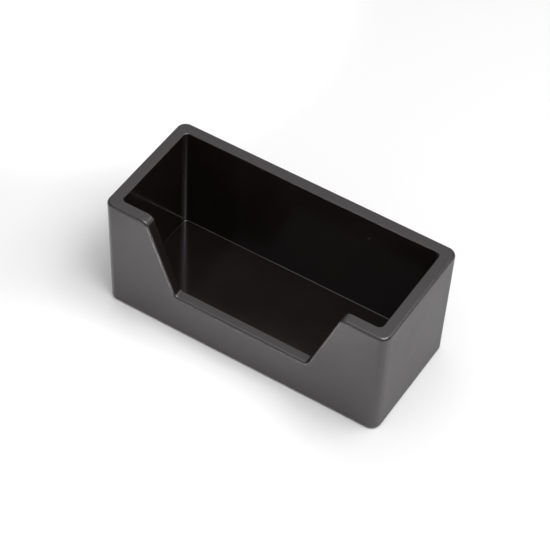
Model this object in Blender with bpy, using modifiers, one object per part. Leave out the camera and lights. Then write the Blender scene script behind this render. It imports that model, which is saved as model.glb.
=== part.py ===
"""Napkin dispenser: a thick-walled cast tray with a cut-out front, standing on four rubber feet.

Metres, +Z up. The origin is on the table, under the middle of the tray. X runs along the tray's
length, and the cut-out front wall faces -Y. The casting is one piece, and each foot sits in a
shallow round pocket in its underside.
"""
import math

import bmesh
import bpy

# Outside of the casting, measured at the rim
LENGTH = 0.300
DEPTH = 0.131
BODY_HEIGHT = 0.129
OUTER_DRAFT = math.radians(0.8)     # the outer walls lean in towards the base
CORNER_RADIUS = 0.010               # the upright outer corners

# Cavity, with upright walls
WALL = 0.0125                       # wall thickness at the rim
FLOOR_THICKNESS = 0.010
CAVITY_CORNER_RADIUS = 0.005

# Cut-out in the front wall: a trapezoid, wider at the rim
CUTOUT_RIM_HALF_WIDTH = 0.1027
CUTOUT_LIP_HALF_WIDTH = 0.0719
CUTOUT_LIP_HEIGHT = 0.0464          # above the casting's underside
CUTOUT_TOP_RADIUS = 0.008           # where the rim turns down into the cut-out
CUTOUT_LIP_RADIUS = 0.004

# Edge rounds and fillets
OUTER_EDGE_RADIUS = 0.003           # rim and cut-out, where they meet the outer faces
INNER_EDGE_RADIUS = 0.0012          # rim and cut-out, where they meet the cavity
BASE_EDGE_RADIUS = 0.0025
FLOOR_FILLET_RADIUS = 0.0008

# Feet: stick-on rubber discs
FOOT_RADIUS = 0.007
FOOT_STANDOFF = 0.001               # how far the feet hold the casting off the table
FOOT_EDGE_RADIUS = 0.0005
FOOT_INSET = 0.020                  # from the rim's outer edges to a foot's centre
POCKET_DEPTH = 0.002
GAP = 0.0003                        # between a foot and its pocket

# Facets
CORNER_SEGMENTS = 12
CUTOUT_SEGMENTS = 8
EDGE_SEGMENTS = 5
FOOT_SEGMENTS = 48
FOOT_EDGE_SEGMENTS = 4
SHARP_ANGLE = math.radians(30)

OVERSHOOT = 0.010                   # how far a cutter runs past the surface that it opens
TOLERANCE = 0.0002                  # for telling which surface an edge lies on

# Levels and places that follow from the sizes above
UNDERSIDE = FOOT_STANDOFF
RIM = UNDERSIDE + BODY_HEIGHT
CAVITY_FLOOR = UNDERSIDE + FLOOR_THICKNESS
LIP = UNDERSIDE + CUTOUT_LIP_HEIGHT
CAVITY_HALF_LENGTH = LENGTH / 2 - WALL
CAVITY_HALF_DEPTH = DEPTH / 2 - WALL
CUTOUT_SLOPE = (CUTOUT_RIM_HALF_WIDTH - CUTOUT_LIP_HALF_WIDTH) / (RIM - LIP)
FOOT_PLACES = {
    "front_left": (-1, -1),
    "front_right": (1, -1),
    "rear_left": (-1, 1),
    "rear_right": (1, 1),
}


def clear_scene():
    for obj in list(bpy.data.objects):
        bpy.data.objects.remove(obj, do_unlink=True)


def new_collection(name):
    collection = bpy.data.collections.new(name)
    bpy.context.scene.collection.children.link(collection)
    return collection


def new_material(name, colour, roughness):
    material = bpy.data.materials.new(name)
    material.use_nodes = True
    shader = material.node_tree.nodes["Principled BSDF"]
    shader.inputs["Base Color"].default_value = (*colour, 1.0)
    shader.inputs["Roughness"].default_value = roughness
    shader.inputs["Metallic"].default_value = 0.0
    return material


def mesh_from_bmesh(name, bm):
    mesh = bpy.data.meshes.new(name)
    bm.to_mesh(mesh)
    bm.free()
    return mesh


def add_object(name, mesh, collection, material=None):
    obj = bpy.data.objects.new(name, mesh)
    if material:
        mesh.materials.append(material)
        mesh.shade_smooth()
        mesh.set_sharp_from_angle(angle=SHARP_ANGLE)
    else:
        obj.hide_render = True
        obj.display_type = "WIRE"
    collection.objects.link(obj)
    return obj


def add_boolean(obj, other, operation):
    modifier = obj.modifiers.new(other.name, "BOOLEAN")
    modifier.object = other
    modifier.operation = operation
    modifier.solver = "EXACT"


def evaluated_mesh(obj):
    """A new mesh: the object's own with its modifiers applied."""
    graph = bpy.context.evaluated_depsgraph_get()
    return bpy.data.meshes.new_from_object(obj.evaluated_get(graph), depsgraph=graph)


def round_edges(bm, chosen, radius, segments):
    """Rounds the edges that the test picks. The offset is each round's tangent length."""
    edges = [edge for edge in bm.edges if chosen(edge)]
    turn = max(edge.calc_face_angle() for edge in edges)
    bmesh.ops.bevel(bm, geom=edges, affect="EDGES", offset=radius * math.tan(turn / 2),
                    offset_type="OFFSET", segments=segments, profile=0.5, clamp_overlap=False)


def is_upright(edge):
    return abs(edge.verts[0].co.z - edge.verts[1].co.z) > BODY_HEIGHT / 4


def is_sharp(edge):
    return edge.calc_face_angle() > SHARP_ANGLE


def is_level_at(edge, height):
    return all(abs(vert.co.z - height) < TOLERANCE for vert in edge.verts)


def is_in_cavity(edge):
    """True for an edge on the cavity's walls, where they meet the rim, the cut-out or the floor."""
    return all(abs(vert.co.x) < CAVITY_HALF_LENGTH + TOLERANCE
               and abs(vert.co.y) < CAVITY_HALF_DEPTH + TOLERANCE for vert in edge.verts)


def crosses_wall(edge):
    """True for the four edges that run through the front wall at the cut-out's corners."""
    ys = sorted(vert.co.y for vert in edge.verts)
    return is_sharp(edge) and not is_in_cavity(edge) and abs(ys[1] + CAVITY_HALF_DEPTH) < TOLERANCE


def rounded_block(half_length, half_depth, low, high, draft, corner_radius):
    """A block with round upright corners. Its sizes hold at the rim, and it narrows below by the draft."""
    bm = bmesh.new()
    bmesh.ops.create_cube(bm, size=2.0)
    for vert in bm.verts:
        height = high if vert.co.z > 0 else low
        lean = (RIM - height) * math.tan(draft)
        vert.co.x = math.copysign(half_length - lean, vert.co.x)
        vert.co.y = math.copysign(half_depth - lean, vert.co.y)
        vert.co.z = height
    round_edges(bm, is_upright, corner_radius, CORNER_SEGMENTS)
    return mesh_from_bmesh("block", bm)


def cutout_wedge():
    """The cut-out's trapezoid, from in front of the front wall to inside the cavity."""
    bm = bmesh.new()
    bmesh.ops.create_cube(bm, size=2.0)
    top = RIM + 2 * OVERSHOOT
    for vert in bm.verts:
        height = top if vert.co.z > 0 else LIP
        half_width = CUTOUT_LIP_HALF_WIDTH + (height - LIP) * CUTOUT_SLOPE
        vert.co.x = math.copysign(half_width, vert.co.x)
        vert.co.y = -DEPTH / 2 - OVERSHOOT if vert.co.y < 0 else -CAVITY_HALF_DEPTH + OVERSHOOT
        vert.co.z = height
    return mesh_from_bmesh("wedge", bm)


def build_casting(parts, cutters, material):
    """The block less its cavity and cut-out, with every edge rounded."""
    cavity = add_object("cavity_cutter", rounded_block(
        CAVITY_HALF_LENGTH, CAVITY_HALF_DEPTH, CAVITY_FLOOR, RIM + OVERSHOOT, 0.0,
        CAVITY_CORNER_RADIUS), cutters)
    add_boolean(cavity, add_object("cutout_cutter", cutout_wedge(), cutters), "UNION")
    block = add_object("block", rounded_block(
        LENGTH / 2, DEPTH / 2, UNDERSIDE, RIM, OUTER_DRAFT, CORNER_RADIUS), cutters)
    add_boolean(block, cavity, "DIFFERENCE")

    bm = bmesh.new()
    bm.from_mesh(evaluated_mesh(block))
    round_edges(bm, lambda e: crosses_wall(e) and is_level_at(e, RIM),
                CUTOUT_TOP_RADIUS, CUTOUT_SEGMENTS)
    round_edges(bm, lambda e: crosses_wall(e) and is_level_at(e, LIP),
                CUTOUT_LIP_RADIUS, CUTOUT_SEGMENTS)
    round_edges(bm, lambda e: is_sharp(e) and is_level_at(e, UNDERSIDE),
                BASE_EDGE_RADIUS, EDGE_SEGMENTS)
    round_edges(bm, lambda e: is_sharp(e) and is_level_at(e, CAVITY_FLOOR) and is_in_cavity(e),
                FLOOR_FILLET_RADIUS, EDGE_SEGMENTS)
    round_edges(bm, lambda e: is_sharp(e) and not is_in_cavity(e), OUTER_EDGE_RADIUS, EDGE_SEGMENTS)
    round_edges(bm, lambda e: is_sharp(e) and is_in_cavity(e), INNER_EDGE_RADIUS, EDGE_SEGMENTS)
    return add_object("dispenser_body", mesh_from_bmesh("dispenser_body", bm), parts, material)


def foot_profile():
    """The foot's outline from the middle of its top, down its side, to the middle of its sole."""
    top = FOOT_STANDOFF + POCKET_DEPTH - GAP
    side = FOOT_RADIUS - FOOT_EDGE_RADIUS
    points = [(0.0, top), (FOOT_RADIUS, top)]
    for i in range(FOOT_EDGE_SEGMENTS + 1):
        angle = math.pi / 2 * i / FOOT_EDGE_SEGMENTS
        points.append((side + FOOT_EDGE_RADIUS * math.cos(angle),
                       FOOT_EDGE_RADIUS * (1 - math.sin(angle))))
    points.append((0.0, 0.0))
    return points


def build_feet(parts, cutters, casting, material):
    profile = bpy.data.meshes.new("foot")
    points = foot_profile()
    profile.from_pydata([(x, 0.0, z) for x, z in points], [(i, i + 1) for i in range(len(points) - 1)], [])
    profile.materials.append(material)
    for place, (side_x, side_y) in FOOT_PLACES.items():
        x = side_x * (LENGTH / 2 - FOOT_INSET)
        y = side_y * (DEPTH / 2 - FOOT_INSET)

        foot = bpy.data.objects.new("foot_" + place, profile)
        foot.location = (x, y, 0.0)
        parts.objects.link(foot)
        screw = foot.modifiers.new("turn", "SCREW")
        screw.steps = FOOT_SEGMENTS
        screw.render_steps = FOOT_SEGMENTS
        screw.use_smooth_shade = True
        screw.use_merge_vertices = True
        screw.merge_threshold = 0.00001

        bm = bmesh.new()
        bmesh.ops.create_cone(bm, cap_ends=True, segments=FOOT_SEGMENTS, radius1=FOOT_RADIUS + GAP,
                              radius2=FOOT_RADIUS + GAP, depth=2 * POCKET_DEPTH)
        pocket = add_object("pocket_cutter_" + place, mesh_from_bmesh("pocket", bm), cutters)
        pocket.location = (x, y, UNDERSIDE)
        add_boolean(casting, pocket, "DIFFERENCE")


def main():
    clear_scene()
    parts = new_collection("napkin_dispenser")
    cutters = new_collection("cutters")
    black = new_material("black_resin", (0.012, 0.012, 0.013), 0.16)
    rubber = new_material("black_rubber", (0.018, 0.018, 0.018), 0.75)
    casting = build_casting(parts, cutters, black)
    build_feet(parts, cutters, casting, rubber)


main()
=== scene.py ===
"""The looks of the napkin dispenser: a black cast tray on four rubber feet, in a pale studio.
The casting is satin outside and polished in its cavity."""
import math

import bmesh
import bpy
from mathutils import Matrix, Vector


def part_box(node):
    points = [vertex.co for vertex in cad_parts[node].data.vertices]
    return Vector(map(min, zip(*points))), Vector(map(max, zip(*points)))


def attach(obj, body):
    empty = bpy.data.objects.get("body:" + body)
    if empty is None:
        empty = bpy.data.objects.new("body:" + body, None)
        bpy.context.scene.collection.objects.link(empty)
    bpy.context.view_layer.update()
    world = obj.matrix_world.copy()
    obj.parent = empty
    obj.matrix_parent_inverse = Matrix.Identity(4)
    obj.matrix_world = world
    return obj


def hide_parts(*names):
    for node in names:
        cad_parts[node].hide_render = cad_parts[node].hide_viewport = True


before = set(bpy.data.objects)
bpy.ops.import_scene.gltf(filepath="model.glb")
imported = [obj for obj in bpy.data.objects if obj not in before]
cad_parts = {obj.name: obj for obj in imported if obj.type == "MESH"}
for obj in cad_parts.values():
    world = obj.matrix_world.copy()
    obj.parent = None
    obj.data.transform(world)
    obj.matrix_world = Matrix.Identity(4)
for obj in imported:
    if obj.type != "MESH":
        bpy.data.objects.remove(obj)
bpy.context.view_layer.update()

# ---- Sizes, in metres. The frame gives the heights and the feet; the rest repeats the CAD ----
casting_low, casting_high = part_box("dispenser_body")
UNDERSIDE = casting_low.z
RIM = casting_high.z
LENGTH = 0.300
DEPTH = 0.131
OUTER_DRAFT = math.radians(0.8)
CORNER_RADIUS = 0.010
WALL = 0.0125
CAVITY_FLOOR = UNDERSIDE + 0.010
CAVITY_CORNER_RADIUS = 0.005
CUTOUT_RIM_HALF_WIDTH = 0.1027
CUTOUT_LIP_HALF_WIDTH = 0.0719
LIP = UNDERSIDE + 0.0464
CUTOUT_TOP_RADIUS = 0.008
CUTOUT_LIP_RADIUS = 0.004
OUTER_EDGE_RADIUS = 0.003
INNER_EDGE_RADIUS = 0.0012
BASE_EDGE_RADIUS = 0.0025
FLOOR_FILLET_RADIUS = 0.0008
CAVITY_HALF_LENGTH = LENGTH / 2 - WALL
CAVITY_HALF_DEPTH = DEPTH / 2 - WALL
CUTOUT_SLOPE = (CUTOUT_RIM_HALF_WIDTH - CUTOUT_LIP_HALF_WIDTH) / (RIM - LIP)

FOOT_NODES = [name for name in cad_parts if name.startswith("foot_")]
POCKET_RADIUS = 0.0073
POCKET_DEPTH = 0.002
POCKET_EDGE_RADIUS = 0.0003
FOOT_EDGE_RADIUS = 0.0006
FOOT_DIMPLE_RADIUS = 0.0022
FOOT_DIMPLE_DEPTH = 0.0003

CORNER_SEGMENTS = 32
CUTOUT_SEGMENTS = 20
EDGE_SEGMENTS = 10
POCKET_SEGMENTS = 96
POCKET_EDGE_SEGMENTS = 4
SHARP_ANGLE = math.radians(30)
OVERSHOOT = 0.010           # how far a cutter reaches past what it cuts
TOLERANCE = 0.0002          # for telling by its place which face or edge is meant
WELD_DISTANCE = 0.000003
FLAT_FACE_WEIGHT = 100      # the flat faces set the shading, not the rounds beside them
EDGE_ATTRIBUTE = "edge"
POLISH_ATTRIBUTE = "polish"

# ---- Surface finish. A scale is noise cells to the metre; a range is where noise fades in ----
RESIN_DARKER = (0.0060, 0.0046, 0.0038, 1)
RESIN_LIGHTER = (0.0084, 0.0066, 0.0055, 1)
RESIN_SCUFFED = (0.022, 0.021, 0.020, 1)
RESIN_GROUND = (0.014, 0.013, 0.012, 1)
RESIN_IOR = 1.75
RESIN_TINT = (1.0, 0.952, 1.0, 1)
POLISHED_ROUGHNESS = 0.10
SATIN_ROUGHNESS = 0.44
EDGE_POLISH = 0.75
CUTOUT_POLISH = 0.4
BURNISHED_LEAN = 0.1        # the lean, 0 on a flat wall, from which a face is fully burnished
GROUND_DEPTH = 0.0004       # how far up from the underside the grinding shows
GROUND_ROUGHNESS = 0.4
CLOUD_SCALE, CLOUD_RANGE = 14, (0.35, 0.65)
SCUFF_SCALE, SCUFF_RANGE, SCUFF_ROUGHNESS = 900, (0.52, 0.72), 0.15
SMEAR_SCALE, SMEAR_RANGE, SMEAR_ROUGHNESS = 38, (0.45, 0.75), 0.04
WIPE_SCALE, WIPE_RANGE, WIPE_ROUGHNESS = 1100, (0.3, 0.7), 0.02
WIPE_STRETCH = (0.03, 1, 1)
PEEL_SCALE, PEEL_DEPTH = 130, 0.000004

RUBBER_CLEAN = (0.014, 0.014, 0.014, 1)
RUBBER_DUSTY = (0.034, 0.033, 0.031, 1)
RUBBER_ROUGHNESS = (0.62, 0.82)
BLOOM_SCALE, BLOOM_RANGE = 220, (0.4, 0.7)
GRAIN_SCALE, GRAIN_DEPTH = 2600, 0.00003

PAPER_DARKER = (0.815, 0.815, 0.815, 1)
PAPER_LIGHTER = (0.825, 0.825, 0.825, 1)
PAPER_ROUGHNESS = 0.9
PULP_SCALE = 3
FLOOR_FADE_START = 1.0      # metres from the tray
FLOOR_FADE_END = 3.0
FAR_FLOOR_GLOW = 0.62


# ---- Mesh helpers ----
def mesh_from_bmesh(name, bm):
    mesh = bpy.data.meshes.new(name)
    bm.to_mesh(mesh)
    bm.free()
    return mesh


def add_object(name, mesh):
    obj = bpy.data.objects.new(name, mesh)
    bpy.context.scene.collection.objects.link(obj)
    return obj


def add_boolean(obj, other, operation):
    modifier = obj.modifiers.new(other.name, "BOOLEAN")
    modifier.object = other
    modifier.operation = operation
    modifier.solver = "EXACT"


def evaluated_mesh(obj):
    graph = bpy.context.evaluated_depsgraph_get()
    return bpy.data.meshes.new_from_object(obj.evaluated_get(graph), depsgraph=graph)


# ---- The casting ----
def round_edges(bm, chosen, radius, segments):
    """Rounds the edges that the test picks. The offset is each round's tangent length."""
    edges = [edge for edge in bm.edges if chosen(edge)]
    turn = max(edge.calc_face_angle() for edge in edges)
    bmesh.ops.bevel(bm, geom=edges, affect="EDGES", offset=radius * math.tan(turn / 2),
                    offset_type="OFFSET", segments=segments, profile=0.5, clamp_overlap=False)


def is_upright(edge):
    """True on a plain block's four corner edges."""
    return abs(edge.verts[0].co.z - edge.verts[1].co.z) > TOLERANCE


def is_sharp(edge):
    return edge.calc_face_angle() > SHARP_ANGLE


def is_level_at(edge, height):
    return all(abs(vert.co.z - height) < TOLERANCE for vert in edge.verts)


def is_in_cavity(edge):
    """True inside the cavity's outline seen from above, where the foot pockets are too."""
    return all(abs(vert.co.x) < CAVITY_HALF_LENGTH + TOLERANCE
               and abs(vert.co.y) < CAVITY_HALF_DEPTH + TOLERANCE for vert in edge.verts)


def is_above_floor(edge):
    return min(vert.co.z for vert in edge.verts) > CAVITY_FLOOR + FLOOR_FILLET_RADIUS


def is_cavity_face(face):
    """True on the cavity's floor, walls and inner edge round, but not on the flat rim."""
    middle = face.calc_center_median()
    return (abs(middle.x) < CAVITY_HALF_LENGTH + INNER_EDGE_RADIUS
            and abs(middle.y) < CAVITY_HALF_DEPTH + INNER_EDGE_RADIUS
            and CAVITY_FLOOR - TOLERANCE < middle.z < RIM - TOLERANCE)


def is_cutout_face(face):
    """True on the slopes, the lip and their corners, between the edge rounds."""
    middle = face.calc_center_median()
    return (abs(middle.x) < CUTOUT_RIM_HALF_WIDTH + CUTOUT_TOP_RADIUS
            and -DEPTH / 2 + OUTER_EDGE_RADIUS / 2 < middle.y < -CAVITY_HALF_DEPTH
            and LIP - OUTER_EDGE_RADIUS < middle.z < RIM - TOLERANCE)


def crosses_wall(edge):
    """True on the cut-out's sharp edges that run through the front wall, from its outside in."""
    ys = sorted(vert.co.y for vert in edge.verts)
    return is_sharp(edge) and not is_in_cavity(edge) and abs(ys[1] + CAVITY_HALF_DEPTH) < TOLERANCE


def rounded_block(half_length, half_depth, low, high, draft, corner_radius):
    """A block that leans in towards its base by the draft, measured from its size at the rim."""
    bm = bmesh.new()
    bmesh.ops.create_cube(bm, size=2.0)
    for vert in bm.verts:
        height = high if vert.co.z > 0 else low
        lean = (RIM - height) * math.tan(draft)
        vert.co.x = math.copysign(half_length - lean, vert.co.x)
        vert.co.y = math.copysign(half_depth - lean, vert.co.y)
        vert.co.z = height
    round_edges(bm, is_upright, corner_radius, CORNER_SEGMENTS)
    return mesh_from_bmesh("block", bm)


def cutout_wedge():
    """The trapezoid that is cut out of the front wall."""
    bm = bmesh.new()
    bmesh.ops.create_cube(bm, size=2.0)
    top = RIM + 2 * OVERSHOOT
    for vert in bm.verts:
        height = top if vert.co.z > 0 else LIP
        half_width = CUTOUT_LIP_HALF_WIDTH + (height - LIP) * CUTOUT_SLOPE
        vert.co.x = math.copysign(half_width, vert.co.x)
        vert.co.y = -DEPTH / 2 - OVERSHOOT if vert.co.y < 0 else -CAVITY_HALF_DEPTH + OVERSHOOT
        vert.co.z = height
    return mesh_from_bmesh("wedge", bm)


def cut_foot_pockets(block):
    """Cuts a round pocket into the underside for each foot, and returns the cutter."""
    pockets = bmesh.new()
    for name in FOOT_NODES:
        low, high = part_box(name)
        place = Matrix.Translation(((low.x + high.x) / 2, (low.y + high.y) / 2, UNDERSIDE))
        bmesh.ops.create_cone(pockets, cap_ends=True, segments=POCKET_SEGMENTS, matrix=place,
                              radius1=POCKET_RADIUS, radius2=POCKET_RADIUS, depth=2 * POCKET_DEPTH)
    cutter = add_object("pocket_cutter", mesh_from_bmesh("pocket_cutter", pockets))
    add_boolean(block, cutter, "DIFFERENCE")
    return cutter


def mark_faces(bm):
    """Stores two numbers for each face: how far round an edge it lies, from 0 on a flat wall to 1
    halfway round, and how polished it is, from 0 for satin to 1 for the cavity's gloss."""
    edge = bm.faces.layers.float.new(EDGE_ATTRIBUTE)
    polish = bm.faces.layers.float.new(POLISH_ATTRIBUTE)
    halfway = 1 - math.sqrt(0.5)
    for face in bm.faces:
        lean = 1 - max(abs(part) for part in face.normal)
        if is_cavity_face(face):
            face[polish] = 1.0
        elif is_cutout_face(face):
            face[polish] = CUTOUT_POLISH
        else:
            face[edge] = min(lean / halfway, 1.0)
            face[polish] = EDGE_POLISH * min(lean / BURNISHED_LEAN, 1.0)


def build_casting(material):
    cavity = add_object("cavity_cutter", rounded_block(
        CAVITY_HALF_LENGTH, CAVITY_HALF_DEPTH, CAVITY_FLOOR, RIM + OVERSHOOT, 0.0,
        CAVITY_CORNER_RADIUS))
    wedge = add_object("cutout_cutter", cutout_wedge())
    block = add_object("block", rounded_block(
        LENGTH / 2, DEPTH / 2, UNDERSIDE, RIM, OUTER_DRAFT, CORNER_RADIUS))
    add_boolean(cavity, wedge, "UNION")
    add_boolean(block, cavity, "DIFFERENCE")
    pockets = cut_foot_pockets(block)
    bm = bmesh.new()
    bm.from_mesh(evaluated_mesh(block))
    for cutter in (block, cavity, wedge, pockets):
        bpy.data.objects.remove(cutter)

    round_edges(bm, lambda e: crosses_wall(e) and is_level_at(e, RIM),
                CUTOUT_TOP_RADIUS, CUTOUT_SEGMENTS)
    round_edges(bm, lambda e: crosses_wall(e) and is_level_at(e, LIP),
                CUTOUT_LIP_RADIUS, CUTOUT_SEGMENTS)
    round_edges(bm, lambda e: is_sharp(e) and is_level_at(e, UNDERSIDE) and not is_in_cavity(e),
                BASE_EDGE_RADIUS, EDGE_SEGMENTS)
    round_edges(bm, lambda e: is_sharp(e) and is_level_at(e, UNDERSIDE) and is_in_cavity(e),
                POCKET_EDGE_RADIUS, POCKET_EDGE_SEGMENTS)
    round_edges(bm, lambda e: is_sharp(e) and is_level_at(e, CAVITY_FLOOR) and is_in_cavity(e),
                FLOOR_FILLET_RADIUS, EDGE_SEGMENTS)
    round_edges(bm, lambda e: is_sharp(e) and is_above_floor(e) and not is_in_cavity(e),
                OUTER_EDGE_RADIUS, EDGE_SEGMENTS)
    round_edges(bm, lambda e: is_sharp(e) and is_above_floor(e) and is_in_cavity(e),
                INNER_EDGE_RADIUS, EDGE_SEGMENTS)
    bm.normal_update()
    mark_faces(bm)
    casting = add_object("casting", mesh_from_bmesh("casting", bm))
    casting.data.materials.append(material)
    casting.data.shade_smooth()
    normals = casting.modifiers.new("flat_faces_stay_flat", "WEIGHTED_NORMAL")
    normals.mode = "FACE_AREA"
    normals.weight = FLAT_FACE_WEIGHT
    normals.keep_sharp = True
    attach(casting, "root")
    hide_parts("dispenser_body")


# ---- The feet ----
def foot_profile(radius, height):
    """Half section of a foot, sole down: a dimple in the sole, a rounded tread edge, a flat top."""
    points = [(0.0, FOOT_DIMPLE_DEPTH)]
    for step in range(EDGE_SEGMENTS + 1):
        angle = math.pi * step / EDGE_SEGMENTS
        points.append((FOOT_DIMPLE_RADIUS * (1 + step / EDGE_SEGMENTS) / 2,
                       FOOT_DIMPLE_DEPTH * (1 + math.cos(angle)) / 2))
    for step in range(EDGE_SEGMENTS + 1):
        angle = math.pi / 2 * step / EDGE_SEGMENTS
        points.append((radius - FOOT_EDGE_RADIUS * (1 - math.sin(angle)),
                       FOOT_EDGE_RADIUS * (1 - math.cos(angle))))
    return points + [(radius, height), (0.0, height)]


def build_foot(node_name, material):
    low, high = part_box(node_name)
    middle = Vector(((low.x + high.x) / 2, (low.y + high.y) / 2, low.z))
    bm = bmesh.new()
    profile = foot_profile((high.x - low.x) / 2, high.z - low.z)
    outline = [bm.verts.new((x, 0.0, z)) for x, z in profile]
    edges = [bm.edges.new(pair) for pair in zip(outline, outline[1:])]
    bmesh.ops.spin(bm, geom=outline + edges, cent=(0, 0, 0), axis=(0, 0, 1),
                   angle=math.tau, steps=POCKET_SEGMENTS)
    bmesh.ops.remove_doubles(bm, verts=bm.verts, dist=WELD_DISTANCE)
    bmesh.ops.recalc_face_normals(bm, faces=bm.faces)
    bmesh.ops.translate(bm, verts=bm.verts, vec=middle)
    foot = add_object("rubber_" + node_name, mesh_from_bmesh("rubber_" + node_name, bm))
    foot.data.materials.append(material)
    foot.data.shade_smooth()
    foot.data.set_sharp_from_angle(angle=SHARP_ANGLE)
    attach(foot, "root")
    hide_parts(node_name)


# ---- Materials ----
def shader_material(name):
    material = bpy.data.materials.new(name)
    material.use_nodes = True
    return material, material.node_tree, material.node_tree.nodes["Principled BSDF"]


def node(tree, kind, **settings):
    made = tree.nodes.new(kind)
    for name, value in settings.items():
        setattr(made, name, value)
    return made


def noise(tree, coordinates, scale, detail=2.0, stretch=(1, 1, 1)):
    """Noise with so many cells to the metre, drawn out along an axis whose stretch is under 1."""
    mapping = node(tree, "ShaderNodeMapping")
    mapping.inputs["Scale"].default_value = [scale * factor for factor in stretch]
    texture = node(tree, "ShaderNodeTexNoise")
    texture.inputs["Scale"].default_value = 1.0
    texture.inputs["Detail"].default_value = detail
    tree.links.new(coordinates, mapping.inputs["Vector"])
    tree.links.new(mapping.outputs["Vector"], texture.inputs["Vector"])
    return texture.outputs["Fac"]


def remap(tree, value, from_low, from_high, to_low, to_high):
    span = node(tree, "ShaderNodeMapRange")
    for name, number in (("From Min", from_low), ("From Max", from_high),
                         ("To Min", to_low), ("To Max", to_high)):
        span.inputs[name].default_value = number
    tree.links.new(value, span.inputs["Value"])
    return span.outputs["Result"]


def calculate(tree, operation, first, second):
    maths = node(tree, "ShaderNodeMath", operation=operation)
    for socket, value in zip(maths.inputs, (first, second)):
        if isinstance(value, (int, float)):
            socket.default_value = value
        else:
            tree.links.new(value, socket)
    return maths.outputs["Value"]


def spots(tree, coordinates, scale, detail, fade, stretch=(1, 1, 1)):
    """Noise that is 0 below the fade's range and 1 above it."""
    return remap(tree, noise(tree, coordinates, scale, detail, stretch), *fade, 0.0, 1.0)


def blend_colours(tree, share, first, second):
    mix = node(tree, "ShaderNodeMix", data_type="RGBA")
    tree.links.new(share, mix.inputs["Factor"])
    for name, value in (("A", first), ("B", second)):
        socket = next(s for s in mix.inputs if s.name == name and s.type == "RGBA")
        if isinstance(value, tuple):
            socket.default_value = value
        else:
            tree.links.new(value, socket)
    return next(s for s in mix.outputs if s.type == "RGBA")


def bump(tree, shader, height, depth):
    """Raises the surface by depth metres where the height is 1."""
    relief = node(tree, "ShaderNodeBump")
    relief.inputs["Strength"].default_value = 1.0
    relief.inputs["Distance"].default_value = depth
    tree.links.new(height, relief.inputs["Height"])
    tree.links.new(relief.outputs["Normal"], shader.inputs["Normal"])


def cast_resin():
    """Warm black resin: satin on the flat outer walls, polished in the cavity, burnished by hands
    and a little scuffed on the rounded edges, and ground flat underneath."""
    material, tree, shader = shader_material("cast_resin")
    coordinates = node(tree, "ShaderNodeTexCoord").outputs["Object"]
    position = node(tree, "ShaderNodeSeparateXYZ")
    tree.links.new(coordinates, position.inputs["Vector"])
    ground = remap(tree, position.outputs["Z"], UNDERSIDE + GROUND_DEPTH, UNDERSIDE, 0.0, 1.0)
    edges = node(tree, "ShaderNodeAttribute", attribute_name=EDGE_ATTRIBUTE).outputs["Fac"]
    polish = node(tree, "ShaderNodeAttribute", attribute_name=POLISH_ATTRIBUTE).outputs["Fac"]

    cloud = spots(tree, coordinates, CLOUD_SCALE, 3.0, CLOUD_RANGE)
    clean = blend_colours(tree, cloud, RESIN_DARKER, RESIN_LIGHTER)
    scuffs = spots(tree, coordinates, SCUFF_SCALE, 4.0, SCUFF_RANGE)
    scuffed = calculate(tree, "MULTIPLY", edges, scuffs)
    worn = blend_colours(tree, scuffed, clean, RESIN_SCUFFED)
    colour = blend_colours(tree, ground, worn, RESIN_GROUND)
    tree.links.new(colour, shader.inputs["Base Color"])

    roughness = remap(tree, polish, 0.0, 1.0, SATIN_ROUGHNESS, POLISHED_ROUGHNESS)
    smears = spots(tree, coordinates, SMEAR_SCALE, 5.0, SMEAR_RANGE)
    wiping = spots(tree, coordinates, WIPE_SCALE, 2.0, WIPE_RANGE, WIPE_STRETCH)
    for share, rougher in ((smears, SMEAR_ROUGHNESS), (wiping, WIPE_ROUGHNESS),
                           (scuffed, SCUFF_ROUGHNESS), (ground, GROUND_ROUGHNESS)):
        extra = calculate(tree, "MULTIPLY", share, rougher)
        roughness = calculate(tree, "ADD", roughness, extra)
    tree.links.new(roughness, shader.inputs["Roughness"])
    shader.inputs["IOR"].default_value = RESIN_IOR
    shader.inputs["Specular Tint"].default_value = RESIN_TINT

    bump(tree, shader, noise(tree, coordinates, PEEL_SCALE, 1.0), PEEL_DEPTH)
    return material


def moulded_rubber():
    """Matt black rubber with a fine grain and a dusty bloom."""
    material, tree, shader = shader_material("moulded_rubber")
    coordinates = node(tree, "ShaderNodeTexCoord").outputs["Object"]
    bloom = spots(tree, coordinates, BLOOM_SCALE, 4.0, BLOOM_RANGE)
    colour = blend_colours(tree, bloom, RUBBER_CLEAN, RUBBER_DUSTY)
    tree.links.new(colour, shader.inputs["Base Color"])
    roughness = remap(tree, bloom, 0.0, 1.0, *RUBBER_ROUGHNESS)
    tree.links.new(roughness, shader.inputs["Roughness"])
    bump(tree, shader, noise(tree, coordinates, GRAIN_SCALE), GRAIN_DEPTH)
    return material


def pale_floor():
    """White studio paper, faintly uneven. It glows far from the tray, where it meets the pale
    backdrop."""
    material, tree, shader = shader_material("pale_floor")
    coordinates = node(tree, "ShaderNodeTexCoord").outputs["Object"]
    pulp = noise(tree, coordinates, PULP_SCALE)
    colour = blend_colours(tree, pulp, PAPER_DARKER, PAPER_LIGHTER)
    tree.links.new(colour, shader.inputs["Base Color"])
    shader.inputs["Roughness"].default_value = PAPER_ROUGHNESS
    shader.inputs["Specular IOR Level"].default_value = 0.0
    distance = node(tree, "ShaderNodeVectorMath", operation="LENGTH")
    tree.links.new(coordinates, distance.inputs["Vector"])
    glow = remap(tree, distance.outputs["Value"], FLOOR_FADE_START, FLOOR_FADE_END,
                 0.0, FAR_FLOOR_GLOW)
    shader.inputs["Emission Color"].default_value = (1, 1, 1, 1)
    tree.links.new(glow, shader.inputs["Emission Strength"])
    return material


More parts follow.
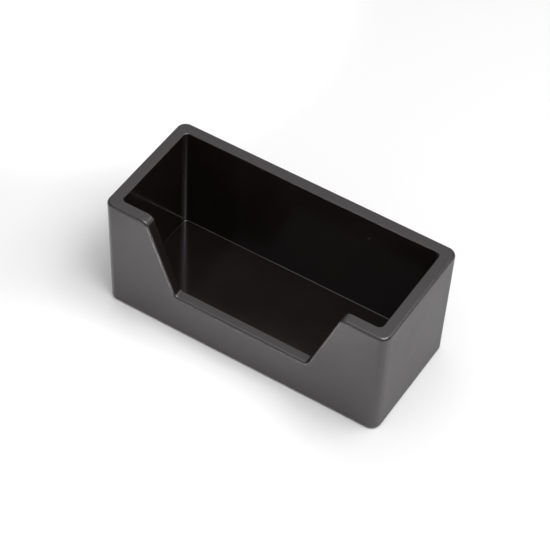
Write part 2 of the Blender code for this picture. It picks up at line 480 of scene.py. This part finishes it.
# ---- Studio. Metres, watts and degrees; the lights were fitted to the photograph's tones ----
FLOOR_HALF_SIZE = 10
SOFTBOX_DISTANCE = 1.9
POOL_HEIGHT = 1.2
FILL_STRENGTH = 0.36
BACKDROP_STRENGTH = 0.95
TRAY_MIDDLE = Vector((0, 0, RIM / 2))
SOFTBOXES = [
    # name, azimuth, elevation, width, height, power
    ("front_low", -22, 16, 1.8, 0.8, 3.8),
    ("key", 132, 45, 0.45, 0.5, 2.5),
    ("key_low", 126, 14, 0.8, 0.4, 1.0),
    ("top_right", 80, 62, 1.3, 1.0, 18.3),
    ("over_right", 95, 74, 1.2, 0.8, 6.6),
    ("overhead", 0, 89, 1.8, 1.8, 11.6),
    ("top_rear_left", 216, 62, 1.3, 0.9, 1.1),
    ("rear_left", 225, 38, 1.2, 0.8, 1.4),
]
POOLS = [
    # name, x, y, size, power, spread
    ("pool_right", 0.45, 0.15, 0.2, 0.07, 24),
    ("pool_front", 0.0, -0.27, 0.1, 0.25, 16),
    ("pool_front_left", -0.12, -0.25, 0.1, 0.11, 16),
    ("pool_rear_left", -0.45, 0.30, 0.2, 1.2, 24),
]
CAMERA_AZIMUTH = 29.77
CAMERA_ELEVATION = 48.26
CAMERA_ROLL = 3.21
CAMERA_DISTANCE = 2.066
CAMERA_AIM = Vector((-0.0026, 0.0, 0.0623))
CAMERA_LENS = 145.45        # millimetres, as is the sensor's width
CAMERA_SENSOR = 36
CAMERA_CLIP_START = 0.1
CAMERA_CLIP_END = 50


def build_floor():
    bm = bmesh.new()
    bmesh.ops.create_grid(bm, x_segments=1, y_segments=1, size=FLOOR_HALF_SIZE)
    floor = add_object("studio_floor", mesh_from_bmesh("studio_floor", bm))
    floor.data.materials.append(pale_floor())


def direction(azimuth, elevation):
    """The unit vector from the tray towards a place round it: azimuth 0 is in front of the tray
    (-Y), and 90 is at its right (+X)."""
    a, e = math.radians(azimuth), math.radians(elevation)
    return Vector((math.sin(a) * math.cos(e), -math.cos(a) * math.cos(e), math.sin(e)))


def add_area_light(name, shape, size, power, place):
    light = bpy.data.lights.new(name, "AREA")
    light.shape = shape
    light.size = size
    light.energy = power
    lamp = bpy.data.objects.new(name, light)
    lamp.visible_camera = False
    lamp.location = place
    bpy.context.scene.collection.objects.link(lamp)
    return lamp


def add_softbox(name, azimuth, elevation, width, height, power):
    """A soft light that faces the tray."""
    towards = direction(azimuth, elevation)
    box = add_area_light(name, "RECTANGLE", width, power, TRAY_MIDDLE + towards * SOFTBOX_DISTANCE)
    box.data.size_y = height
    box.rotation_mode = "QUATERNION"
    box.rotation_quaternion = towards.to_track_quat("Z", "Y")


def add_pool(name, x, y, size, power, spread):
    """A narrow light from straight above that brightens a patch of the floor beside the tray."""
    lamp = add_area_light(name, "DISK", size, power, (x, y, POOL_HEIGHT))
    lamp.data.spread = math.radians(spread)


def build_lights():
    for row in SOFTBOXES:
        add_softbox(*row)
    for row in POOLS:
        add_pool(*row)


def build_world():
    """A pale backdrop that only the camera sees, over a dim fill that lights the tray."""
    world = bpy.data.worlds.new("studio")
    world.use_nodes = True
    tree = world.node_tree
    fill = tree.nodes["Background"]
    fill.inputs["Color"].default_value = (1, 1, 1, 1)
    fill.inputs["Strength"].default_value = FILL_STRENGTH
    backdrop = node(tree, "ShaderNodeBackground")
    backdrop.inputs["Color"].default_value = (1, 1, 1, 1)
    backdrop.inputs["Strength"].default_value = BACKDROP_STRENGTH
    choice = node(tree, "ShaderNodeMixShader")
    seen = node(tree, "ShaderNodeLightPath").outputs["Is Camera Ray"]
    tree.links.new(seen, choice.inputs["Fac"])
    tree.links.new(fill.outputs["Background"], choice.inputs[1])
    tree.links.new(backdrop.outputs["Background"], choice.inputs[2])
    tree.links.new(choice.outputs["Shader"], tree.nodes["World Output"].inputs["Surface"])
    bpy.context.scene.world = world


def build_camera():
    data = bpy.data.cameras.new("camera")
    data.lens = CAMERA_LENS
    data.sensor_width = CAMERA_SENSOR
    data.clip_start = CAMERA_CLIP_START
    data.clip_end = CAMERA_CLIP_END
    camera = bpy.data.objects.new("camera", data)
    back = direction(CAMERA_AZIMUTH, CAMERA_ELEVATION)
    roll = Matrix.Rotation(math.radians(CAMERA_ROLL), 3, "Z").to_quaternion()
    camera.rotation_mode = "QUATERNION"
    camera.rotation_quaternion = back.to_track_quat("Z", "Y") @ roll
    camera.location = CAMERA_AIM + back * CAMERA_DISTANCE
    bpy.context.scene.collection.objects.link(camera)
    bpy.context.scene.camera = camera


def main():
    build_casting(cast_resin())
    rubber = moulded_rubber()
    for name in FOOT_NODES:
        build_foot(name, rubber)
    build_floor()
    build_lights()
    build_world()
    build_camera()
    bpy.context.scene.view_settings.view_transform = "Standard"


main()
